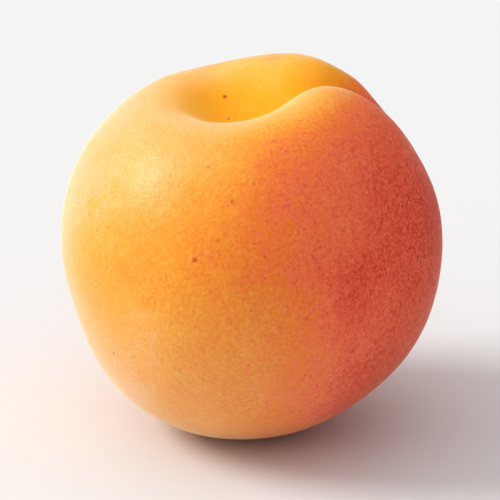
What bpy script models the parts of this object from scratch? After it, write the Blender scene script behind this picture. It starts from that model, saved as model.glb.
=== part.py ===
"""A ripe whole apricot: one closed fruit body that rests on a small flat spot.

Units are metres, +Z is up. The stem cavity is on top, and the suture runs from it down the +X side to the tip
underneath, so the XZ plane splits the fruit into its two equal cheeks. The origin is the middle of the flat spot.
"""

import math

import bmesh
import bpy
from mathutils import Matrix, Vector

# Body
BELLY_RADIUS = 0.0253
UPPER_HEIGHT = 0.0240  # from the belly up to the shoulders, before the cavity is sunk
LOWER_HEIGHT = 0.0251  # from the belly down to the tip
PLAN_STRETCH = -0.0125  # share by which the plan is longer along X than along Y
SUTURE_BULGE = 0.016  # share by which the suture side stands out further than the back

# Profile harmonics, as shares of the belly radius
DROOP_TOWARDS_SUTURE = 0.011
SQUARE_SHOULDERS = 0.008
ROUND_TOWARDS_SUTURE = 0.017
FLAT_BACK = -0.009
FULL_FRONT = 0.002

# Stem cavity
CAVITY_DEPTH = 0.0083
CAVITY_SPREAD = 0.0075

# The two lobes that stand up on either side of the suture
LOBE_HEIGHT = 0.0020
LOBE_FORWARD = 0.0123
LOBE_SIDEWAYS = 0.0085
LOBE_SPREAD = 0.0091

# Suture
VALLEY_DEPTH_TOP = 0.0020
VALLEY_DEPTH_BELLY = 0.0008
VALLEY_SPREAD = 0.0027
CREASE_DEPTH = 0.0005
CREASE_SPREAD = 0.0008
SUTURE_START_TOP = (-0.002, 0.005)  # on top it fades in between these places along X
SUTURE_START_TIP = (0.004, 0.012)  # and underneath it fades out between these

# Stance
LEAN_BACK = math.radians(3.4)  # the stem leans this far away from the suture
FLAT_SPOT_DEPTH = 0.0004

# Mesh
COLUMNS = 56
RINGS = 38
COLUMN_CROWDING = 0.6  # draws the columns together at the suture

SKIN_COLOUR = (0.90, 0.36, 0.07, 1.0)
SKIN_ROUGHNESS = 0.5


def smooth_step(value, start, end):
    """0 before start, 1 after end, and an even curve between."""
    share = min(max((value - start) / (end - start), 0.0), 1.0)
    return share * share * (3.0 - 2.0 * share)


def body_point(polar, azimuth):
    """The plain rounded body, without its cavity, lobes and suture."""
    front = math.cos(azimuth)
    radius = BELLY_RADIUS * (1.0 + PLAN_STRETCH * math.cos(2.0 * azimuth) + SUTURE_BULGE * front)
    profile = math.sin(polar)
    profile += DROOP_TOWARDS_SUTURE * front * math.sin(2.0 * polar)
    profile += (SQUARE_SHOULDERS - ROUND_TOWARDS_SUTURE * front) * math.sin(3.0 * polar)
    profile += (FLAT_BACK * (1.0 - front) + FULL_FRONT * (1.0 + front)) / 2.0 * math.sin(4.0 * polar)
    out = radius * profile
    up = math.cos(polar)
    height = UPPER_HEIGHT if up > 0.0 else LOWER_HEIGHT
    return Vector((out * math.cos(azimuth), out * math.sin(azimuth), height * up))


def top_relief(point, up):
    """How far the lobes lift the top and the cavity sinks it."""
    beside = ((point.x - LOBE_FORWARD) ** 2 + (abs(point.y) - LOBE_SIDEWAYS) ** 2) / LOBE_SPREAD**2
    lift = LOBE_HEIGHT * smooth_step(up, 0.15, 0.6) * math.exp(-beside)
    sink = CAVITY_DEPTH * math.exp(-(point.x**2 + point.y**2) / CAVITY_SPREAD**2) if up > 0.0 else 0.0
    return lift - sink


def suture_depth(point, up):
    """How far the suture draws the skin in towards the middle of the fruit."""
    valley = VALLEY_DEPTH_BELLY + (VALLEY_DEPTH_TOP - VALLEY_DEPTH_BELLY) * smooth_step(up, 0.25, 0.8)
    across = valley * math.exp(-((point.y / VALLEY_SPREAD) ** 2))
    across += CREASE_DEPTH * math.exp(-abs(point.y) / CREASE_SPREAD)
    start = SUTURE_START_TOP if up > 0.0 else SUTURE_START_TIP
    return across * smooth_step(point.x, *start)


def skin_point(polar, azimuth):
    """A point on the finished skin, measured from the middle of the belly."""
    point = body_point(polar, azimuth)
    up = math.cos(polar)
    point.z += top_relief(point, up)
    return point * (1.0 - suture_depth(point, up) / point.length)


def shape_fruit(mesh):
    """Turns the ball's vertices into the skin of the fruit, leaning as it stands."""
    lean = Matrix.Rotation(-LEAN_BACK, 3, "Y")
    for vertex in mesh.verts:
        direction = vertex.co.normalized()
        polar = math.acos(min(max(direction.z, -1.0), 1.0))
        turn = math.atan2(direction.y, direction.x)
        azimuth = turn - COLUMN_CROWDING * math.sin(turn)
        vertex.co = lean @ skin_point(polar, azimuth)


def flatten_underside(mesh):
    """Cuts the small flat spot and puts its middle at the origin."""
    lowest = min(mesh.verts, key=lambda vertex: vertex.co.z).co.z
    cut = bmesh.ops.bisect_plane(
        mesh,
        geom=mesh.verts[:] + mesh.edges[:] + mesh.faces[:],
        plane_co=(0.0, 0.0, lowest + FLAT_SPOT_DEPTH),
        plane_no=(0.0, 0.0, 1.0),
        clear_inner=True,
    )
    rim = [item for item in cut["geom_cut"] if isinstance(item, bmesh.types.BMEdge)]
    spot = bmesh.ops.contextual_create(mesh, geom=rim)["faces"][0]
    bmesh.ops.translate(mesh, verts=mesh.verts[:], vec=-spot.calc_center_median_weighted())
    return spot


def make_apricot():
    """Builds the fruit body from a ball of rings and columns."""
    mesh = bmesh.new()
    bmesh.ops.create_uvsphere(mesh, u_segments=COLUMNS, v_segments=RINGS, radius=BELLY_RADIUS)
    shape_fruit(mesh)
    spot = flatten_underside(mesh)
    bmesh.ops.recalc_face_normals(mesh, faces=mesh.faces[:])
    for face in mesh.faces:
        face.smooth = face is not spot
    data = bpy.data.meshes.new("apricot")
    mesh.to_mesh(data)
    mesh.free()
    fruit = bpy.data.objects.new("apricot", data)
    bpy.context.scene.collection.objects.link(fruit)
    return fruit


def make_skin():
    """The ripe orange skin."""
    skin = bpy.data.materials.new("apricot_skin")
    skin.use_nodes = True
    shader = skin.node_tree.nodes["Principled BSDF"]
    shader.inputs["Base Color"].default_value = SKIN_COLOUR
    shader.inputs["Roughness"].default_value = SKIN_ROUGHNESS
    shader.inputs["Metallic"].default_value = 0.0
    return skin


def main():
    """Clears the scene and models the fruit."""
    for leftover in list(bpy.data.objects):
        bpy.data.objects.remove(leftover)
    make_apricot().data.materials.append(make_skin())


main()
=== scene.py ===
"""The looks of a ripe whole apricot: its downy skin, the pale studio it stands in and the camera.

Units are metres and +Z is up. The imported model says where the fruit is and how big. It rests on Z = 0, with
its stem cavity on top and its suture down the +X side.
"""

import logging
import math
from collections.abc import Mapping, Sequence
from dataclasses import dataclass
from enum import Enum
from typing import Any

import bpy
import numpy as np
from mathutils import Matrix, Vector, noise


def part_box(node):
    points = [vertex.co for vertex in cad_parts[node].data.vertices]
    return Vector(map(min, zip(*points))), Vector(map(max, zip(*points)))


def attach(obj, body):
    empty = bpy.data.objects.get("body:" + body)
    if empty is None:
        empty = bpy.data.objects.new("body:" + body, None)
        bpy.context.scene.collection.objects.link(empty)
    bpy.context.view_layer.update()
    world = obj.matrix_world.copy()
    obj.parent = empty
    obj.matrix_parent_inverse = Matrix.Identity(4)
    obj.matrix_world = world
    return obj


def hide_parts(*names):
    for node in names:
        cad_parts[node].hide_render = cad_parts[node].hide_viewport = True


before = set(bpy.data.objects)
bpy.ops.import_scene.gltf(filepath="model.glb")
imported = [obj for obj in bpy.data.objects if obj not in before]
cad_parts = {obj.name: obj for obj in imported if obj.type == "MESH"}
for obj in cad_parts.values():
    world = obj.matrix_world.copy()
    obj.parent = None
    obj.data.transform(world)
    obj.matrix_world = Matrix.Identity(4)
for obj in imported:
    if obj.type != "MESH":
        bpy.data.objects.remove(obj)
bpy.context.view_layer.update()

LOG = logging.getLogger("apricot")
MILLIMETRES = 1000.0  # in a metre

Colour = tuple[float, float, float]
Direction = tuple[float, float, float]
Span = tuple[float, float]

TOWARDS_SUTURE: Direction = (1.0, 0.0, 0.0)
TOWARDS_FAR_CHEEK: Direction = (0.0, 1.0, 0.0)
UP: Direction = (0.0, 0.0, 1.0)

# A Noise node stays close to the middle of 0 to 1, so this stretches it to about -1 to 1.
NOISE_STRETCH = 4.0

# A Mix node has a set of sockets for each kind of data. These are the ones for colours.
MIX_FACTOR, MIX_UNDER, MIX_OVER, MIX_RESULT = 0, 6, 7, 2


class Blend(Enum):
    """How a Mix node lays one colour over another."""

    COVER = "MIX"
    STAIN = "MULTIPLY"
    LIGHTEN = "SCREEN"


class Slope(Enum):
    """How a Map Range node climbs from one end to the other."""

    STRAIGHT = "LINEAR"
    SOFT_ENDS = "SMOOTHSTEP"


def smooth_step(value: np.ndarray, start: float, end: float) -> np.ndarray:
    """An even curve from 0 at start to 1 at end.

    Args:
        value: The values to read the curve at.
        start: Where the curve leaves 0.
        end: Where the curve reaches 1.

    Returns:
        The curve's height at each value.
    """
    share = np.clip((value - start) / (end - start), 0.0, 1.0)
    return share * share * (3.0 - 2.0 * share)


def noise_at(points: np.ndarray, size: float, seed: float) -> np.ndarray:
    """Smooth noise read at points in space.

    Args:
        points: Rows of X, Y and Z.
        size: The width of one swell of the noise.
        seed: Shifts the noise, so that two layers of one size differ.

    Returns:
        One value from -1 to 1 for each point.
    """
    shift = Vector((seed, 2.0 * seed, -seed))
    return np.array([noise.noise(Vector(point) / size + shift) for point in points])


class Signal:
    """A shader socket that takes part in arithmetic: each operator adds its Math node."""

    def __init__(self, graph: "ShaderGraph", socket: bpy.types.NodeSocket) -> None:
        """Keeps the socket.

        Args:
            graph: The graph that new nodes go into.
            socket: The output socket that carries the value or colour.
        """
        self.graph = graph
        self.socket = socket

    def __add__(self, other: "Signal | float") -> "Signal":
        """The sum."""
        return self.graph.math("ADD", self, other)

    def __radd__(self, other: float) -> "Signal":
        """The sum, with the number first."""
        return self.graph.math("ADD", other, self)

    def __sub__(self, other: "Signal | float") -> "Signal":
        """The difference."""
        return self.graph.math("SUBTRACT", self, other)

    def __rsub__(self, other: float) -> "Signal":
        """The difference, with the number first."""
        return self.graph.math("SUBTRACT", other, self)

    def __mul__(self, other: "Signal | float") -> "Signal":
        """The product."""
        return self.graph.math("MULTIPLY", self, other)

    def __rmul__(self, other: float) -> "Signal":
        """The product, with the number first."""
        return self.graph.math("MULTIPLY", other, self)

    def __neg__(self) -> "Signal":
        """The same value with its sign changed."""
        return 0.0 - self

    def __pow__(self, power: float) -> "Signal":
        """The power."""
        return self.graph.math("POWER", self, power)

    def over(self, other: "Signal | float") -> "Signal":
        """The larger of the two."""
        return self.graph.math("MAXIMUM", self, other)

    def dot(self, direction: Direction) -> "Signal":
        """How far a vector reaches along a fixed direction."""
        return self.graph.vector("DOT_PRODUCT", self, direction, output="Value")

    def distance(self, point: Sequence[float]) -> "Signal":
        """How far a place is from a fixed point."""
        return self.graph.vector("DISTANCE", self, tuple(point), output="Value")

    def ramp(self, start: float, end: float, slope: Slope = Slope.STRAIGHT) -> "Signal":
        """A clamped ramp from 0 at start to 1 at end.

        Args:
            start: The value that gives 0.
            end: The value that gives 1.
            slope: How it climbs in between.

        Returns:
            The ramp's height.
        """
        settings = {"interpolation_type": slope.value}
        sockets = {"Value": self, "From Min": start, "From Max": end}
        return self.graph.signal("ShaderNodeMapRange", settings, sockets, "Result")

    def step(self, start: float, end: float) -> "Signal":
        """A ramp with soft ends from 0 at start to 1 at end."""
        return self.ramp(start, end, Slope.SOFT_ENDS)

    def fade(self, start: float, end: float) -> "Signal":
        """A ramp with soft ends from 1 at start to 0 at end."""
        return 1.0 - self.step(start, end)


class ShaderGraph:
    """The node tree of one material or of the world."""

    def __init__(self, owner: bpy.types.Material | bpy.types.World) -> None:
        """Empties the owner's node tree.

        Args:
            owner: The material or the world that the tree belongs to.
        """
        owner.use_nodes = True
        self.tree = owner.node_tree
        self.tree.nodes.clear()

    def node(self, kind: str, settings: Mapping[str, Any], sockets: Mapping[Any, Any]) -> bpy.types.Node:
        """Adds a node, its settings first and then its sockets.

        Args:
            kind: The node's type.
            settings: The node's own properties. "stops" fills a colour ramp with (place, colour) pairs.
            sockets: Values or signals by the name or number of the input socket.

        Returns:
            The node.
        """
        made = self.tree.nodes.new(kind)
        for name, value in settings.items():
            if name == "stops":
                self.fill_ramp(made.color_ramp, value)
            else:
                setattr(made, name, value)
        for name, value in sockets.items():
            if isinstance(value, Signal):
                self.tree.links.new(value.socket, made.inputs[name])
            else:
                made.inputs[name].default_value = value
        return made

    def fill_ramp(self, ramp: bpy.types.ColorRamp, stops: Sequence[tuple[float, Colour]]) -> None:
        """Sets a colour ramp's stops.

        Args:
            ramp: The ramp.
            stops: Places from 0 to 1, each with its colour.
        """
        while len(ramp.elements) < len(stops):
            ramp.elements.new(1.0)
        for element, (place, colour) in zip(ramp.elements, stops):
            element.position = place
            element.color = (*colour, 1.0)

    def signal(
        self, kind: str, settings: Mapping[str, Any], sockets: Mapping[Any, Any], output: str | int = 0
    ) -> Signal:
        """Adds a node and wraps one of its outputs.

        Args:
            kind: The node's type.
            settings: The node's own properties.
            sockets: Values or signals by input socket.
            output: The output's name or number.

        Returns:
            The output as a signal.
        """
        return Signal(self, self.node(kind, settings, sockets).outputs[output])

    def math(self, operation: str, *terms: Signal | float) -> Signal:
        """Adds a Math node.

        Args:
            operation: The node's operation.
            terms: Its inputs, from the top.

        Returns:
            The node's value.
        """
        return self.signal("ShaderNodeMath", {"operation": operation}, dict(enumerate(terms)))

    def vector(self, operation: str, *terms: Signal | Direction, output: str = "Vector") -> Signal:
        """Adds a Vector Math node.

        Args:
            operation: The node's operation.
            terms: Its inputs, from the top.
            output: "Vector", or "Value" for a dot product, a distance or a length.

        Returns:
            The node's vector or value.
        """
        return self.signal("ShaderNodeVectorMath", {"operation": operation}, dict(enumerate(terms)), output)

    def mix(self, factor: Signal, under: Signal, over: Colour, blend: Blend = Blend.COVER) -> Signal:
        """Lays one colour over another.

        Args:
            factor: How much of the upper colour shows.
            under: The lower colour.
            over: The upper colour.
            blend: How the upper one is laid.

        Returns:
            The mixed colour.
        """
        settings = {"data_type": "RGBA", "blend_type": blend.value, "clamp_factor": True}
        sockets = {MIX_FACTOR: factor, MIX_UNDER: under, MIX_OVER: (*over, 1.0)}
        return self.signal("ShaderNodeMix", settings, sockets, MIX_RESULT)


@dataclass(frozen=True)
class FruitForm:
    """The fruit's shape as a formula.

    Lengths are shares of the width across the two cheeks. The spans of lobe_start and valley_deepens are
    cosines of polar angles, which are 1 at the stem and 0 at the belly.
    """

    belly_radius: float = 0.4985
    upper_height: float = 0.4729
    lower_height: float = 0.4946
    plan_stretch: float = -0.0125
    suture_bulge: float = 0.016
    droop_towards_suture: float = 0.011
    square_shoulders: float = 0.008
    round_towards_suture: float = 0.017
    flat_back: float = -0.009
    full_front: float = 0.002
    cavity_depth: float = 0.1635
    cavity_spread: float = 0.1478
    lobe_height: float = 0.0394
    lobe_forward: float = 0.2424
    lobe_sideways: float = 0.1675
    lobe_spread: float = 0.1793
    lobe_start: Span = (0.15, 0.60)
    valley_depth_top: float = 0.0394
    valley_depth_belly: float = 0.0158
    valley_spread: float = 0.0532
    valley_deepens: Span = (0.25, 0.80)
    crease_depth: float = 0.0099
    crease_spread: float = 0.0090
    suture_start_top: Span = (-0.039, 0.099)
    suture_start_tip: Span = (0.079, 0.236)
    lean_back: float = math.radians(3.4)
    spot_depth: float = 0.0079

    def body(self, polar: np.ndarray, azimuth: np.ndarray) -> np.ndarray:
        """The plain rounded body.

        Args:
            polar: Angles down from the stem.
            azimuth: Angles round from the suture.

        Returns:
            Rows of X, Y and Z.
        """
        front = np.cos(azimuth)
        plan = 1.0 + self.plan_stretch * np.cos(2.0 * azimuth) + self.suture_bulge * front
        profile = np.sin(polar)
        profile = profile + self.droop_towards_suture * front * np.sin(2.0 * polar)
        profile += (self.square_shoulders - self.round_towards_suture * front) * np.sin(3.0 * polar)
        fullness = (self.flat_back * (1.0 - front) + self.full_front * (1.0 + front)) / 2.0
        profile += fullness * np.sin(4.0 * polar)
        up = np.cos(polar)
        height = np.where(up > 0.0, self.upper_height, self.lower_height) * up
        radius = self.belly_radius * plan * profile
        return np.stack([radius * front, radius * np.sin(azimuth), height], axis=-1)

    def top_relief(self, points: np.ndarray, up: np.ndarray) -> np.ndarray:
        """How far the lobes lift the top and the cavity sinks it.

        Args:
            points: Points of the plain body.
            up: The cosine of their polar angles.

        Returns:
            The rise at each point.
        """
        x, y = points[:, 0], points[:, 1]
        beside = ((x - self.lobe_forward) ** 2 + (np.abs(y) - self.lobe_sideways) ** 2) / self.lobe_spread**2
        lift = self.lobe_height * smooth_step(up, *self.lobe_start) * np.exp(-beside)
        sink = self.cavity_depth * np.exp(-(x**2 + y**2) / self.cavity_spread**2)
        return lift - np.where(up > 0.0, sink, 0.0)

    def suture_depth(self, points: np.ndarray, up: np.ndarray) -> np.ndarray:
        """How far the suture draws the skin in.

        Args:
            points: Points of the body with its top shaped.
            up: The cosine of their polar angles.

        Returns:
            The depth at each point.
        """
        x, y = points[:, 0], points[:, 1]
        deepening = self.valley_depth_top - self.valley_depth_belly
        deepening = deepening * smooth_step(up, *self.valley_deepens)
        across = (self.valley_depth_belly + deepening) * np.exp(-((y / self.valley_spread) ** 2))
        across += self.crease_depth * np.exp(-np.abs(y) / self.crease_spread)
        top = smooth_step(x, *self.suture_start_top)
        return across * np.where(up > 0.0, top, smooth_step(x, *self.suture_start_tip))

    def skin(self, polar: np.ndarray, azimuth: np.ndarray) -> np.ndarray:
        """Points on the finished skin, leaning as the fruit stands.

        Args:
            polar: Angles down from the stem.
            azimuth: Angles round from the suture.

        Returns:
            Rows of X, Y and Z about the middle of the belly.
        """
        points = self.body(polar, azimuth)
        up = np.cos(polar)
        points[:, 2] += self.top_relief(points, up)
        length = np.linalg.norm(points, axis=1)
        points *= (1.0 - self.suture_depth(points, up) / length)[:, None]
        return points @ np.array(Matrix.Rotation(-self.lean_back, 3, "Y")).T


@dataclass(frozen=True)
class Stance:
    """Carries the form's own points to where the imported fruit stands."""

    width: float
    shift: Direction

    @classmethod
    def on_box(cls, form: FruitForm, points: np.ndarray, low: Vector, high: Vector) -> "Stance":
        """Fits the form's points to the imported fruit's box.

        Args:
            form: The fruit's form.
            points: The form's points.
            low: The box's lowest corner.
            high: The box's highest corner.

        Returns:
            The stance that puts the cut flat spot on the box's bottom.
        """
        width = (high.y - low.y) / float(np.ptp(points[:, 1]))
        floor = float(points[:, 2].min()) + form.spot_depth
        middle = (points.min(axis=0) + points.max(axis=0)) / 2.0 * width
        box_middle = (low + high) / 2.0
        return cls(width, (box_middle.x - middle[0], box_middle.y - middle[1], low.z - floor * width))

    def place(self, points: np.ndarray) -> np.ndarray:
        """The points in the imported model's frame."""
        return points * self.width + np.array(self.shift)

    def heart(self) -> np.ndarray:
        """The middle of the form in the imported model's frame."""
        return np.array(self.shift)


def facing_way(polar: float, azimuth: float) -> Direction:
    """The direction from the heart of the fruit to a place on its skin.

    Args:
        polar: Degrees down from straight up.
        azimuth: Degrees round from the suture.

    Returns:
        A direction of length 1.
    """
    down, turn = math.radians(polar), math.radians(azimuth)
    return (math.sin(down) * math.cos(turn), math.sin(down) * math.sin(turn), math.cos(down))


@dataclass(frozen=True)
class Freckle:
    """A small dark spot on the skin, placed by its angles in degrees and sized in metres.

    Its core and its rim are shares of its radius.
    """

    polar: float
    azimuth: float
    radius: float
    depth: float = 0.6
    core: float = 0.4
    rim: float = 1.3

    def mask(self, place: Signal, spot: Vector) -> Signal:
        """How dark it makes each place: all of its depth in its core and nothing past its rim."""
        return place.distance(spot).fade(self.radius * self.core, self.radius * self.rim) * self.depth


@dataclass(frozen=True)
class Blotch:
    """A soft patch of riper skin, or of less ripe skin where its strength is negative.

    It is placed by its angles in degrees, and its spread is a share of the fruit's own radius.
    """

    polar: float
    azimuth: float
    spread: float
    strength: float

    def draw(self, toward: Signal) -> Signal:
        """How much riper the skin is in each direction from the heart of the fruit."""
        away = toward.distance(facing_way(self.polar, self.azimuth))
        return away.fade(0.0, 2.0 * self.spread) * self.strength


FRECKLES = (
    Freckle(12, 95, 0.00032, 0.85),
    Freckle(6, 106, 0.00022),
    # Painted shade: this wide, faint spot darkens the skin for the shade of a small dent below the far lobe's
    # top.
    Freckle(25, 50, 0.00150, 0.15),
    Freckle(42, -115, 0.00024, 0.4),
    Freckle(53, -105, 0.00032, 0.6),
    Freckle(65, -110, 0.00030, 0.35),
    Freckle(71, -117, 0.00038, 0.75),
    Freckle(78, -100, 0.00024, 0.3),
    Freckle(67, -152, 0.00020, 0.3),
    Freckle(108, -151, 0.00030, 0.6),
    Freckle(91, -85, 0.00028, 0.3),
    Freckle(48, -53, 0.00034, 0.4),
    Freckle(35, -84, 0.00034, 0.35),
    Freckle(74, -28, 0.00028, 0.4),
    Freckle(84, -60, 0.00040, 0.6),
    Freckle(106, -70, 0.00034, 0.5),
    Freckle(70, 60, 0.00036),
    Freckle(95, 84, 0.00042, 0.9),
    Freckle(58, 118, 0.00032),
    Freckle(82, 150, 0.00040, 0.9),
    Freckle(104, 172, 0.00030),
)

BLOTCHES = (
    Blotch(8, 160, 0.70, -0.50),
    Blotch(44, -120, 0.23, -0.09),
    Blotch(50, -87, 0.16, 0.12),
    Blotch(83, -69, 0.13, 0.12),
    Blotch(66, -66, 0.10, -0.05),
    Blotch(77, -22, 0.26, 0.26),
    Blotch(102, -142, 0.27, 0.11),
    Blotch(80, -153, 0.27, 0.23),
    Blotch(92, -90, 0.20, -0.08),
    Blotch(124, -58, 0.25, 0.17),
    Blotch(95, -72, 0.13, 0.07),
    Blotch(36, 26, 0.21, -0.16),
    Blotch(100, 25, 0.45, -0.22),
    Blotch(112, 152, 0.50, 0.14),
    Blotch(70, 96, 0.30, 0.10),
)


@dataclass(frozen=True)
class NoiseLayer:
    """One layer of noise: the width of its swells in metres, its strength and its finer layers."""

    size: float
    strength: float = 1.0
    detail: float = 1.0
    roughness: float = 0.5

    def draw(self, graph: ShaderGraph, place: Signal) -> Signal:
        """The noise, evened out to about plus or minus its strength.

        Args:
            graph: The skin's graph.
            place: The point that it is read at.

        Returns:
            The noise.
        """
        finer = {"Detail": self.detail, "Roughness": self.roughness}
        sockets = {"Vector": place, "Scale": 1.0 / self.size, **finer}
        plain = graph.signal("ShaderNodeTexNoise", {}, sockets, "Fac")
        return (plain * NOISE_STRETCH - NOISE_STRETCH / 2.0) * self.strength


@dataclass(frozen=True)
class Wander:
    """Small shifts of a place, which give round marks ragged edges: the width of a swell and its reach."""

    size: float
    reach: float

    def draw(self, graph: ShaderGraph, place: Signal) -> Signal:
        """Shifts a place.

        Args:
            graph: The skin's graph.
            place: The point on the skin.

        Returns:
            The shifted place.
        """
        plain = graph.signal("ShaderNodeTexNoise", {}, {"Vector": place, "Scale": 1.0 / self.size}, "Color")
        centred = graph.vector("SUBTRACT", plain, (0.5, 0.5, 0.5))
        shift = graph.vector("MULTIPLY", centred, (NOISE_STRETCH * self.reach,) * 3)
        return graph.vector("ADD", place, shift)


@dataclass(frozen=True)
class Blush:
    """The red cheek: strongest where it faced the sun, clouded, and changed by the fruit's own blotches."""

    sunny_side: Direction = (0.970, 0.085, 0.226)
    clouds: NoiseLayer = NoiseLayer(0.016, 0.08)
    patches: NoiseLayer = NoiseLayer(0.0045, 0.09, detail=3.0, roughness=0.6)
    shaded_end: float = -0.80
    falloff: float = 0.62
    fullness: float = 1.05
    paler_near_stem: Span = (0.79, 0.92)
    loss_near_stem: float = 0.40
    soft_limit: float = 0.86
    held_back: float = 0.68

    def draw(self, graph: ShaderGraph, place: Signal, toward: Signal) -> Signal:
        """How red the skin is, from 0 on the shaded side to about 1 in the middle of the blush.

        Args:
            graph: The skin's graph.
            place: The point on the skin.
            toward: The direction from the heart of the fruit to it.

        Returns:
            The blush.
        """
        sunny = toward.dot(self.sunny_side) + self.clouds.draw(graph, place) + self.patches.draw(graph, place)
        blush = sunny.ramp(self.shaded_end, 1.0) ** self.falloff * self.fullness
        blush = blush * (1.0 - toward.dot(UP).step(*self.paler_near_stem) * self.loss_near_stem)
        for blotch in BLOTCHES:
            blush = blush + blotch.draw(toward)
        return blush - (blush - self.soft_limit).ramp(0.0, 1.0) * self.held_back


@dataclass(frozen=True)
class Grain:
    """The fine grain that breaks the blush up, with short streaks along the verge where the blush begins."""

    dots: NoiseLayer = NoiseLayer(0.00032)
    dots_on_yellow: float = 0.06
    dots_per_blush: float = 0.05
    clumps: NoiseLayer = NoiseLayer(0.0007, 0.055)
    clump_squeeze: Direction = (1.0, 1.0, 0.7)
    streaks: NoiseLayer = NoiseLayer(0.00060, 0.07, detail=2.0, roughness=0.7)
    streak_turn: float = 0.018
    streak_fall: float = 0.30
    verge_start: Span = (0.30, 0.50)
    verge_end: Span = (0.62, 0.85)

    def draw(self, graph: ShaderGraph, place: Signal, blush: Signal, stem: Vector) -> Signal:
        """How ripe each grain of the skin is.

        Args:
            graph: The skin's graph.
            place: The point on the skin.
            blush: How red the skin is there.
            stem: The point that the streaks run out from.

        Returns:
            The ripeness that the colour is read at.
        """
        dots = self.dots.draw(graph, place) * (blush * self.dots_per_blush + self.dots_on_yellow)
        clumps = self.clumps.draw(graph, graph.vector("MULTIPLY", place, self.clump_squeeze))
        verge = blush.step(*self.verge_start) * blush.fade(*self.verge_end)
        return blush + dots + clumps + self.streaking(graph, place, stem) * verge

    def streaking(self, graph: ShaderGraph, place: Signal, stem: Vector) -> Signal:
        """Short streaks that run from the stem towards the tip.

        Args:
            graph: The skin's graph.
            place: The point on the skin.
            stem: The point that they run out from.

        Returns:
            The streaks.
        """
        apart = graph.vector("SUBTRACT", place, tuple(stem))
        turn = graph.math("ARCTAN2", apart.dot(TOWARDS_FAR_CHEEK), apart.dot(TOWARDS_SUTURE))
        fall = graph.vector("LENGTH", apart, output="Value")
        sockets = {"X": turn * self.streak_turn, "Y": fall * self.streak_fall}
        return self.streaks.draw(graph, graph.signal("ShaderNodeCombineXYZ", {}, sockets))


@dataclass(frozen=True)
class Specks:
    """Many tiny dots of one colour. How many show, and how strongly, changes with the blush."""

    colour: Colour
    spacing: float
    plenty: float
    strength: float
    plenty_per_blush: float = 0.0
    strength_per_blush: float = 0.0
    dot: Span = (0.08, 0.30)
    chance_edge: float = 0.12

    def lay(self, graph: ShaderGraph, place: Signal, blush: Signal, colour: Signal) -> Signal:
        """Lays the dots over the skin's colour.

        Args:
            graph: The skin's graph.
            place: The point on the skin.
            blush: How red the skin is there.
            colour: The colour so far.

        Returns:
            The colour with the dots.
        """
        cells = graph.node("ShaderNodeTexVoronoi", {}, {"Vector": place, "Scale": 1.0 / self.spacing})
        dots = Signal(graph, cells.outputs["Distance"]).fade(*self.dot)
        # Each cell has a random colour, and its red is what its chance to show is judged by.
        chance = Signal(graph, cells.outputs["Color"]).dot((1.0, 0.0, 0.0))
        shown = (blush * self.plenty_per_blush + self.plenty - chance).step(0.0, self.chance_edge)
        strength = blush * self.strength_per_blush + self.strength
        return graph.mix(dots * shown * strength, colour, self.colour)


@dataclass(frozen=True)
class Mottle:
    """A fine light and dark mottle, stronger in some patches than in others."""

    cells: NoiseLayer = NoiseLayer(0.00042)
    patches: NoiseLayer = NoiseLayer(0.0030, 0.35, detail=2.0)
    evenness: float = 0.65
    shadow_tint: Colour = (0.82, 0.70, 0.65)
    shadow: float = 0.80
    light_tint: Colour = (0.20, 0.165, 0.080)
    light: float = 0.88
    light_lost_to_blush: float = 0.46

    def lay(self, graph: ShaderGraph, place: Signal, blush: Signal, colour: Signal) -> Signal:
        """Lays the mottle over the skin's colour.

        Args:
            graph: The skin's graph.
            place: The point on the skin.
            blush: How red the skin is there.
            colour: The colour so far.

        Returns:
            The colour with the mottle.
        """
        mottle = self.cells.draw(graph, place) * (self.patches.draw(graph, place) + self.evenness)
        colour = graph.mix(mottle.ramp(0.0, 1.0) * self.shadow, colour, self.shadow_tint, Blend.STAIN)
        light = (-mottle).ramp(0.0, 1.0) * (self.light - blush * self.light_lost_to_blush)
        return graph.mix(light, colour, self.light_tint, Blend.LIGHTEN)


@dataclass(frozen=True)
class SkinMasks:
    """Where each kind of skin lies, from 0 to 1, and how steeply the skin's direction points up."""

    height: Signal
    blush: Signal
    cavity: Signal
    fold: Signal
    scar: Signal


@dataclass(frozen=True)
class PaintedSheen:
    """Painted light: paler colour painted under the fruit for the light that the floor reflects up onto it,
    and on the crest round its stem cavity for the sheen of its down. It fades into the blush.
    """

    colour: Colour = (1.00, 0.600, 0.420)
    under: Span = (-0.20, 0.55)
    crest: Span = (0.58, 0.82)
    crest_fades: Span = (0.02, 0.34)
    strength: float = 0.15
    gone_at_blush: float = 1.15

    def lay(self, graph: ShaderGraph, masks: SkinMasks, colour: Signal) -> Signal:
        """Lays the painted floor light and painted sheen over the skin's colour.

        Args:
            graph: The skin's graph.
            masks: Where each kind of skin lies.
            colour: The colour so far.

        Returns:
            The colour with the bloom.
        """
        under = (-masks.height).step(*self.under)
        crest = masks.height.step(*self.crest) * (1.0 - masks.cavity) * masks.blush.fade(*self.crest_fades)
        share = (under + crest) * (self.gone_at_blush - masks.blush) * self.strength
        return graph.mix(share, colour, self.colour)


@dataclass(frozen=True)
class Fold:
    """The valley where the suture runs out of the stem cavity, in parts of a direction of length 1."""

    middle: float = 0.09
    across: Span = (0.02, 0.30)
    start: Span = (0.10, 0.30)
    end: Span = (0.40, 0.76)
    level: Span = (0.55, 0.80)

    def mask(self, graph: ShaderGraph, toward: Signal, height: Signal) -> Signal:
        """Where the valley is.

        Args:
            graph: The skin's graph.
            toward: The direction from the heart of the fruit to the skin.
            height: How steeply that direction points up.

        Returns:
            1 in the valley and 0 on the lobes beside it.
        """
        apart = graph.math("ABSOLUTE", toward.dot(TOWARDS_FAR_CHEEK) - self.middle)
        ahead = toward.dot(TOWARDS_SUTURE)
        along = ahead.step(*self.start) * ahead.fade(*self.end)
        return apart.fade(*self.across) * along * height.step(*self.level)


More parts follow.
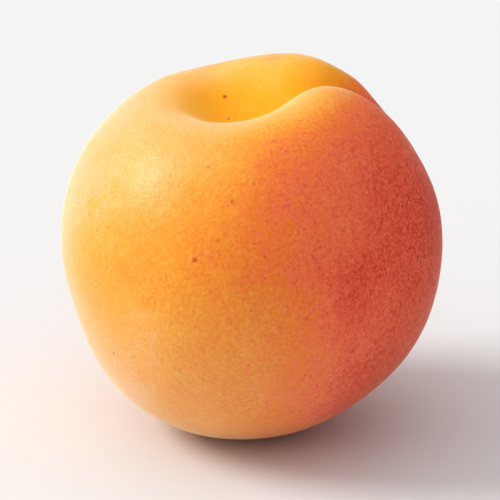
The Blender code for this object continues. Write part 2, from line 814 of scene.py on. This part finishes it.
@dataclass(frozen=True)
class FineSurface:
    """The finest relief of the skin, from its down and its pores, and how much it scatters the shine."""

    down: NoiseLayer = NoiseLayer(0.00024)
    down_height: float = 0.45
    pore_spacing: float = 0.00055
    pore_depth: float = 0.90
    depth: float = 0.000030
    roughness: float = 0.345
    roughness_of_down: float = 0.05
    roughness_of_scar: float = 0.25

    def draw(self, graph: ShaderGraph, place: Signal, scar: Signal) -> dict[str, Signal]:
        """The shader inputs that give the relief and the roughness.

        Args:
            graph: The skin's graph.
            place: The point on the skin.
            scar: Where the stem's scar is.

        Returns:
            The signals by the name of their input.
        """
        down = self.down.draw(graph, place)
        sockets = {"Vector": place, "Scale": 1.0 / self.pore_spacing}
        pores = graph.signal("ShaderNodeTexVoronoi", {"feature": "SMOOTH_F1"}, sockets, "Distance")
        relief = down * self.down_height - pores * self.pore_depth
        bump = graph.signal("ShaderNodeBump", {}, {"Strength": 1.0, "Distance": self.depth, "Height": relief})
        roughness = self.roughness + down * self.roughness_of_down + scar * self.roughness_of_scar
        return {"Roughness": roughness, "Normal": bump}


@dataclass(frozen=True)
class SurfaceFeel:
    """How one kind of skin takes the light: its gloss, the sheen of its down and the flesh under it."""

    gloss: float
    sheen: float
    sheen_roughness: float
    refraction: float = 1.31
    flesh: float = 0.60
    flesh_reach: Colour = (1.0, 0.35, 0.10)
    flesh_depth: float = 0.0035

    def shade(self, graph: ShaderGraph, down_colour: Colour, varying: Mapping[str, Signal]) -> Signal:
        """Builds its shader.

        Args:
            graph: The skin's graph.
            down_colour: The colour of the down.
            varying: The shader's inputs that change from place to place.

        Returns:
            The shader.
        """
        settled = {
            "IOR": self.refraction,
            "Specular IOR Level": self.gloss,
            "Subsurface Weight": self.flesh,
            "Subsurface Radius": self.flesh_reach,
            "Subsurface Scale": self.flesh_depth,
            "Sheen Weight": self.sheen,
            "Sheen Roughness": self.sheen_roughness,
            "Sheen Tint": (*down_colour, 1.0),
        }
        return graph.signal("ShaderNodeBsdfPrincipled", {}, {**varying, **settled})


@dataclass(frozen=True)
class Fuzz:
    """The down seen edge on, which pales the outline of the fruit."""

    colour: Colour = (1.00, 0.800, 0.560)
    edge: float = 7.0
    strength: float = 0.80
    lost_to_blush: float = 0.84

    def cover(self, graph: ShaderGraph, blush: Signal, skin: Signal) -> Signal:
        """Lays the fuzz over the skin.

        Args:
            graph: The skin's graph.
            blush: How red the skin is.
            skin: The skin's shader.

        Returns:
            The shader of both.
        """
        tips = {"Base Color": (*self.colour, 1.0), "Roughness": 1.0, "Specular IOR Level": 0.0}
        fuzz = graph.signal("ShaderNodeBsdfPrincipled", {}, tips)
        outline = graph.signal("ShaderNodeLayerWeight", {}, {"Blend": 0.5}, "Facing") ** self.edge
        thick = outline * (self.strength - blush * self.lost_to_blush)
        return graph.signal("ShaderNodeMixShader", {}, {0: thick, 1: skin, 2: fuzz})


@dataclass(frozen=True)
class DownySkin:
    """The fruit's skin: straw yellow to orange, a red blush on the sunny cheek and short pale down."""

    heart: Vector
    scar: Vector
    freckle_places: tuple[tuple[Vector, Freckle], ...]
    ripeness: tuple[tuple[float, Colour], ...] = (
        (0.00, (0.97, 0.465, 0.150)),
        (0.10, (0.97, 0.420, 0.055)),
        (0.22, (0.97, 0.375, 0.016)),
        (0.40, (0.94, 0.300, 0.010)),
        (0.55, (0.94, 0.216, 0.027)),
        (0.68, (0.98, 0.188, 0.077)),
        (0.85, (0.85, 0.114, 0.061)),
        (1.00, (0.62, 0.038, 0.012)),
    )
    blush: Blush = Blush()
    grain: Grain = Grain()
    red_specks: Specks = Specks((0.66, 0.035, 0.010), 0.0009, -0.22, 0.45, plenty_per_blush=1.10)
    pale_specks: Specks = Specks((1.00, 0.620, 0.220), 0.0013, 0.30, 0.16, strength_per_blush=-0.10)
    mottle: Mottle = Mottle()
    painted_sheen: PaintedSheen = PaintedSheen()
    # Partly the cavity's own unblushed gold, partly painted light that lifts the shade inside the cavity.
    cavity_gold_and_painted_light: Colour = (1.00, 0.440, 0.009)
    cavity_gold_and_painted_light_strength: float = 0.85
    cavity_edge: Span = (0.006, 0.015)
    fold: Fold = Fold()
    # Painted light: the suture's valley gets a brighter, deeper orange in place of light bounced between the
    # lobes.
    fold_painted_light_colour: Colour = (1.00, 0.380, 0.012)
    fold_painted_light_strength: float = 0.70
    freckle_colour: Colour = (0.58, 0.035, 0.010)
    freckle_wander: Wander = Wander(0.0005, 0.00010)
    scar_colour: Colour = (0.42, 0.200, 0.075)
    scar_wander: Wander = Wander(0.0011, 0.0009)
    scar_edge: Span = (0.001, 0.002)
    fine_surface: FineSurface = FineSurface()
    downy: SurfaceFeel = SurfaceFeel(gloss=0.80, sheen=0.28, sheen_roughness=0.30)
    rubbed: SurfaceFeel = SurfaceFeel(gloss=0.03, sheen=0.0, sheen_roughness=0.20)
    rubbed_at_blush: Span = (0.38, 0.68)
    fuzz: Fuzz = Fuzz()

    def make(self) -> bpy.types.Material:
        """Builds the material.

        Returns:
            The skin's material.
        """
        material = bpy.data.materials.new("apricot_skin")
        graph = ShaderGraph(material)
        place = graph.signal("ShaderNodeTexCoord", {}, {}, "Object")
        masks = self.find(graph, place)
        varying = {"Base Color": self.paint(graph, place, masks)}
        varying.update(self.fine_surface.draw(graph, place, masks.scar))
        graph.node("ShaderNodeOutputMaterial", {}, {"Surface": self.shade(graph, masks, varying)})
        return material

    def find(self, graph: ShaderGraph, place: Signal) -> SkinMasks:
        """Finds where each kind of skin lies.

        Args:
            graph: The skin's graph.
            place: The point on the skin.

        Returns:
            The masks.
        """
        toward = graph.vector("NORMALIZE", graph.vector("SUBTRACT", place, tuple(self.heart)))
        height = toward.dot(UP)
        blush = self.blush.draw(graph, place, toward)
        cavity = place.distance(self.scar).fade(*self.cavity_edge)
        fold = self.fold.mask(graph, toward, height)
        scar = self.scar_wander.draw(graph, place).distance(self.scar).fade(*self.scar_edge)
        return SkinMasks(height, blush, cavity, fold, scar)

    def freckles(self, graph: ShaderGraph, place: Signal) -> Signal:
        """The mask of the single freckles.

        Args:
            graph: The skin's graph.
            place: The point on the skin.

        Returns:
            The darkest freckle's mask at each place, and 0 on plain skin.
        """
        ragged = self.freckle_wander.draw(graph, place)
        mask: Signal | float = 0.0
        for spot, freckle in self.freckle_places:
            mask = freckle.mask(ragged, spot).over(mask)
        return mask

    def paint(self, graph: ShaderGraph, place: Signal, masks: SkinMasks) -> Signal:
        """Lays the skin's colours over each other, the ripeness first and the stem's scar last.

        Args:
            graph: The skin's graph.
            place: The point on the skin.
            masks: Where each kind of skin lies.

        Returns:
            The skin's colour.
        """
        ripeness = self.grain.draw(graph, place, masks.blush, self.scar)
        colour = graph.signal("ShaderNodeValToRGB", {"stops": self.ripeness}, {"Fac": ripeness}, "Color")
        colour = self.red_specks.lay(graph, place, masks.blush, colour)
        colour = self.pale_specks.lay(graph, place, masks.blush, colour)
        colour = self.mottle.lay(graph, place, masks.blush, colour)
        # Painted light: the underside and the cavity's crest are painted paler, for the floor's reflected
        # light and the down's sheen.
        colour = self.painted_sheen.lay(graph, masks, colour)
        # Partly real gold skin and partly painted light: the cavity is painted brighter than its shade would
        # leave it.
        colour = graph.mix(masks.cavity * self.cavity_gold_and_painted_light_strength, colour, self.cavity_gold_and_painted_light)
        # Painted light: the valley is painted brighter orange to stand in for bounced light and light through
        # the flesh.
        colour = graph.mix(masks.fold * self.fold_painted_light_strength, colour, self.fold_painted_light_colour)
        colour = graph.mix(self.freckles(graph, place), colour, self.freckle_colour)
        return graph.mix(masks.scar, colour, self.scar_colour)

    def shade(self, graph: ShaderGraph, masks: SkinMasks, varying: Mapping[str, Signal]) -> Signal:
        """Joins the downy skin, the skin that is rubbed bare and the fuzz of the outline.

        Args:
            graph: The skin's graph.
            masks: Where each kind of skin lies.
            varying: The shaders' inputs that change from place to place.

        Returns:
            The whole skin's shader.
        """
        downy = self.downy.shade(graph, self.fuzz.colour, varying)
        rubbed = self.rubbed.shade(graph, self.fuzz.colour, varying)
        bare = masks.blush.step(*self.rubbed_at_blush).over(masks.cavity).over(masks.fold)
        skin = graph.signal("ShaderNodeMixShader", {}, {0: bare, 1: downy, 2: rubbed})
        return self.fuzz.cover(graph, masks.blush, skin)


@dataclass(frozen=True)
class Swelling:
    """One broad, shallow unevenness of this fruit. A negative rise is a hollow."""

    polar: float
    azimuth: float
    spread: float
    rise: float

    def lift(self, toward: np.ndarray) -> np.ndarray:
        """How far it lifts the skin.

        Args:
            toward: Directions from the heart of the fruit, as rows.

        Returns:
            The lift in each direction.
        """
        apart = np.linalg.norm(toward - np.array(facing_way(self.polar, self.azimuth)), axis=1)
        return self.rise * np.exp(-((apart / self.spread) ** 2))


SWELLINGS = (
    Swelling(47.0, -24.0, 0.24, 0.00055),
    Swelling(56.0, 20.0, 0.18, -0.00024),
    Swelling(40.0, 14.0, 0.12, 0.00032),
    Swelling(124.0, -14.0, 0.34, 0.00058),
    Swelling(116.0, 166.0, 0.28, -0.00062),
    Swelling(27.0, 98.0, 0.10, -0.00050),
    Swelling(19.0, 165.0, 0.13, 0.00050),
    Swelling(31.0, 128.0, 0.16, 0.00025),
)


@dataclass
class WholeFruit:
    """The apricot's skin as a fine mesh with its cavity, suture, swells and stem scar.

    The spans and widths of the pleats, the collar and the pit are shares of scar_radius. Only points whose
    polar angle is under scar_reach, in radians, can belong to the scar.
    """

    form: FruitForm
    rings: int = 236
    columns: int = 408
    ring_crowding: float = 1.30
    column_crowding: float = 0.5
    swell_size: float = 0.0110
    swell_height: float = 0.00014
    swell_seed: float = 3.1
    ripple_size: float = 0.0026
    ripple_height: float = 0.000022
    ripple_seed: float = 7.7
    pleat_count: int = 17
    pleat_height: float = 0.00004
    pleat_start: Span = (0.8, 2.2)
    pleat_end: Span = (1.5, 3.0)
    pleat_wander: float = 1.5
    pleat_wander_turns: float = 3.0
    scar_radius: float = 0.0014
    scar_height: float = 0.00035
    scar_reach: float = 1.0
    collar_width: float = 0.35
    pit_width: float = 0.45
    pit_share: float = 0.8
    contact_softness: float = 0.0003

    def grid(self) -> tuple[np.ndarray, np.ndarray]:
        """The angles of the mesh's points: the stem's pole, then each ring, then the tip's pole.

        Returns:
            Polar angles and azimuths.
        """
        down = math.pi * np.linspace(0.0, 1.0, self.rings + 2)[1:-1] ** self.ring_crowding
        turn = np.linspace(0.0, 2.0 * math.pi, self.columns, endpoint=False)
        turn = turn - self.column_crowding * np.sin(turn)
        polar, azimuth = (part.ravel() for part in np.meshgrid(down, turn, indexing="ij"))
        return np.concatenate([[0.0], polar, [math.pi]]), np.concatenate([[0.0], azimuth, [0.0]])

    def faces(self) -> list[tuple[int, ...]]:
        """The mesh's faces: a fan at each pole and quads between the rings.

        Returns:
            Point numbers, each face's in order with its front outside.
        """
        last = 1 + self.rings * self.columns
        made: list[tuple[int, ...]] = []
        for column in range(self.columns):
            beside = (column + 1) % self.columns
            made.append((0, 1 + column, 1 + beside))
            base = last - self.columns
            made.append((last, base + beside, base + column))
        for ring in range(self.rings - 1):
            start = 1 + ring * self.columns
            below = start + self.columns
            for column in range(self.columns):
                beside = (column + 1) % self.columns
                made.append((start + column, below + column, below + beside, start + beside))
        return made

    def relief(self, points: np.ndarray, toward: np.ndarray) -> np.ndarray:
        """How far the fruit's own swellings and its fine unevenness lift the skin.

        Args:
            points: The skin's points in the model's frame.
            toward: Their directions from the heart of the fruit.

        Returns:
            The lift at each point, away from the heart.
        """
        lift = self.swell_height * noise_at(points, self.swell_size, self.swell_seed)
        lift += self.ripple_height * noise_at(points, self.ripple_size, self.ripple_seed)
        return lift + sum(swelling.lift(toward) for swelling in SWELLINGS)

    def cavity_relief(self, polar: np.ndarray, azimuth: np.ndarray, radius: np.ndarray) -> np.ndarray:
        """The pleats round the stem and the stem's scar.

        Args:
            polar: The points' polar angles.
            azimuth: Their azimuths.
            radius: Their distances from the stem's axis.

        Returns:
            The rise of each point.
        """
        out = radius / self.scar_radius
        band = smooth_step(out, *self.pleat_start) * (1.0 - smooth_step(out, *self.pleat_end))
        wander = self.pleat_wander * np.sin(self.pleat_wander_turns * azimuth)
        pleats = self.pleat_height * band * np.cos(self.pleat_count * azimuth + wander)
        collar = np.exp(-(((out - 1.0) / self.collar_width) ** 2))
        pit = self.pit_share * np.exp(-((out / self.pit_width) ** 2))
        return pleats + self.scar_height * (collar - pit) * (polar < self.scar_reach)

    def build(self, low: Vector, high: Vector) -> tuple[bpy.types.Object, Stance]:
        """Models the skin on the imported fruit's box.

        Args:
            low: The box's lowest corner.
            high: The box's highest corner.

        Returns:
            The fruit and the stance that its points were placed with.
        """
        polar, azimuth = self.grid()
        drawn = self.form.skin(polar, azimuth)
        stance = Stance.on_box(self.form, drawn, low, high)
        points = stance.place(drawn)
        outward = points - stance.heart()
        outward /= np.linalg.norm(outward, axis=1)[:, None]
        points += outward * self.relief(points, outward)[:, None]
        stem = points[0].copy()
        radius = np.hypot(points[:, 0] - stem[0], points[:, 1] - stem[1])
        points[:, 2] += self.cavity_relief(polar, azimuth, radius)
        self.settle(points, low.z)

        mesh = bpy.data.meshes.new("apricot_skin")
        mesh.from_pydata(points.tolist(), [], self.faces())
        mesh.shade_smooth()
        fruit = bpy.data.objects.new("apricot_skin", mesh)
        bpy.context.scene.collection.objects.link(fruit)
        return fruit, stance

    def settle(self, points: np.ndarray, floor: float) -> None:
        """Presses the underside flat where the fruit rests, with a soft edge.

        Args:
            points: The skin's points, changed in place.
            floor: The height of the surface that it rests on.
        """
        soft = self.contact_softness
        over = points[:, 2] - floor
        points[:, 2] = floor + np.where(over > soft, over, soft * np.exp(np.minimum(over / soft, 1.0) - 1.0))

    def finish(self, stance: Stance) -> DownySkin:
        """The skin's finish, with its marks where the form puts them.

        Args:
            stance: Where the form's points go.

        Returns:
            The finish.
        """
        polar = np.radians([0.0] + [freckle.polar for freckle in FRECKLES])
        azimuth = np.radians([0.0] + [freckle.azimuth for freckle in FRECKLES])
        scar, *spots = (Vector(point) for point in stance.place(self.form.skin(polar, azimuth)))
        return DownySkin(Vector(stance.heart()), scar, tuple(zip(spots, FRECKLES)))


@dataclass(frozen=True)
class SoftLight:
    """A broad round light that is far away, so that it falls evenly over the whole floor."""

    name: str
    toward: Direction
    spread: float
    strength: float
    colour: Colour = (1.0, 1.0, 1.0)

    def hang(self) -> bpy.types.Object:
        """Hangs the light.

        Returns:
            The light.
        """
        data = bpy.data.lights.new(self.name, "SUN")
        data.angle = self.spread
        data.energy = self.strength
        data.color = self.colour
        light = bpy.data.objects.new(self.name, data)
        light.rotation_euler = Vector(self.toward).to_track_quat("Z", "Y").to_euler()
        bpy.context.scene.collection.objects.link(light)
        return light


@dataclass(frozen=True)
class Studio:
    """A pale floor under a pale tent, with a window light.

    The tent glows evenly all round, but it is brighter overhead and on its bright side, and dimmer on the
    other side.
    """

    floor_size: float = 12.0
    floor_colour: Colour = (0.74, 0.74, 0.74)
    floor_roughness: float = 0.9
    bright_side: Direction = (-0.966, 0.240, 0.100)
    around: float = 0.48
    overhead: float = 0.90
    overhead_falloff: float = 4.0
    beside: float = 0.60
    beside_falloff: float = 5.0
    dimmed: float = 0.33
    dim_side: Span = (0.1, 0.9)
    window: SoftLight = SoftLight("window", (-0.754, 0.263, 0.602), math.radians(28.0), 2.22)

    def lay_floor(self, level: float) -> bpy.types.Object:
        """Lays the floor.

        Args:
            level: Its height.

        Returns:
            The floor.
        """
        half = self.floor_size / 2.0
        corners = [(-half, -half, level), (half, -half, level), (half, half, level), (-half, half, level)]
        mesh = bpy.data.meshes.new("studio_floor")
        mesh.from_pydata(corners, [], [(0, 1, 2, 3)])
        floor = bpy.data.objects.new("studio_floor", mesh)
        material = bpy.data.materials.new("studio_floor")
        graph = ShaderGraph(material)
        paint = {"Base Color": (*self.floor_colour, 1.0), "Roughness": self.floor_roughness}
        shader = graph.signal("ShaderNodeBsdfPrincipled", {}, {**paint, "Specular IOR Level": 0.0})
        graph.node("ShaderNodeOutputMaterial", {}, {"Surface": shader})
        mesh.materials.append(material)
        bpy.context.scene.collection.objects.link(floor)
        return floor

    def raise_tent(self) -> None:
        """Lights the scene from all round, and more from overhead and from the bright side."""
        world = bpy.data.worlds.new("studio_tent")
        bpy.context.scene.world = world
        graph = ShaderGraph(world)
        direction = graph.signal("ShaderNodeTexCoord", {}, {}, "Generated")
        across = direction.dot(self.bright_side)
        overhead = direction.dot(UP).ramp(-1.0, 1.0) ** self.overhead_falloff * self.overhead
        beside = across.ramp(-1.0, 1.0) ** self.beside_falloff * self.beside
        around = self.around - (-across).step(*self.dim_side) * self.dimmed
        tent = graph.signal("ShaderNodeBackground", {}, {"Strength": overhead + beside + around})
        graph.node("ShaderNodeOutputWorld", {}, {"Surface": tent})

    def set_up(self, level: float) -> bpy.types.Object:
        """Sets up the whole studio.

        Args:
            level: The floor's height.

        Returns:
            The floor.
        """
        self.raise_tent()
        self.window.hang()
        return self.lay_floor(level)


@dataclass(frozen=True)
class Viewpoint:
    """A long lens that looks down a little on the fruit's near cheek."""

    azimuth: float = math.radians(-12.6)
    elevation: float = math.radians(22.0)
    lens: float = 0.400
    sensor: float = 0.036
    share_of_frame: float = 0.78
    clip_reach: float = 4.0

    def stand(self, low: Vector, high: Vector) -> bpy.types.Object:
        """Places the camera.

        Args:
            low: The object's lowest corner.
            high: The object's highest corner.

        Returns:
            The camera, which is also the scene's.
        """
        data = bpy.data.cameras.new("camera")
        data.lens = self.lens * MILLIMETRES
        data.sensor_width = self.sensor * MILLIMETRES
        camera = bpy.data.objects.new("camera", data)
        level = math.cos(self.elevation)
        east, north = math.sin(self.azimuth) * level, -math.cos(self.azimuth) * level
        back = Vector((east, north, math.sin(self.elevation)))
        distance = (high.y - low.y) * self.lens / (self.sensor * self.share_of_frame)
        camera.location = (low + high) / 2.0 + back * distance
        camera.rotation_euler = back.to_track_quat("Z", "Y").to_euler()
        data.clip_end = self.clip_reach * distance
        bpy.context.scene.collection.objects.link(camera)
        bpy.context.scene.camera = camera
        bpy.context.scene.view_settings.view_transform = "Standard"
        return camera


def main() -> None:
    """Builds the fruit, the studio and the camera."""
    logging.basicConfig(level=logging.INFO, format="%(name)s: %(message)s")
    low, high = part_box("apricot")
    camera = Viewpoint().stand(low, high)
    LOG.info("%s stands %.2f m away", camera.name, camera.location.length)

    whole = WholeFruit(FruitForm())
    fruit, stance = whole.build(low, high)
    fruit.data.materials.append(whole.finish(stance).make())
    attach(fruit, "root")
    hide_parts("apricot")
    LOG.info("%s has %d faces", fruit.name, len(fruit.data.polygons))

    floor = Studio().set_up(low.z)
    LOG.info("%s laid at %.4f m", floor.name, low.z)


if __name__ == "__main__":
    main()
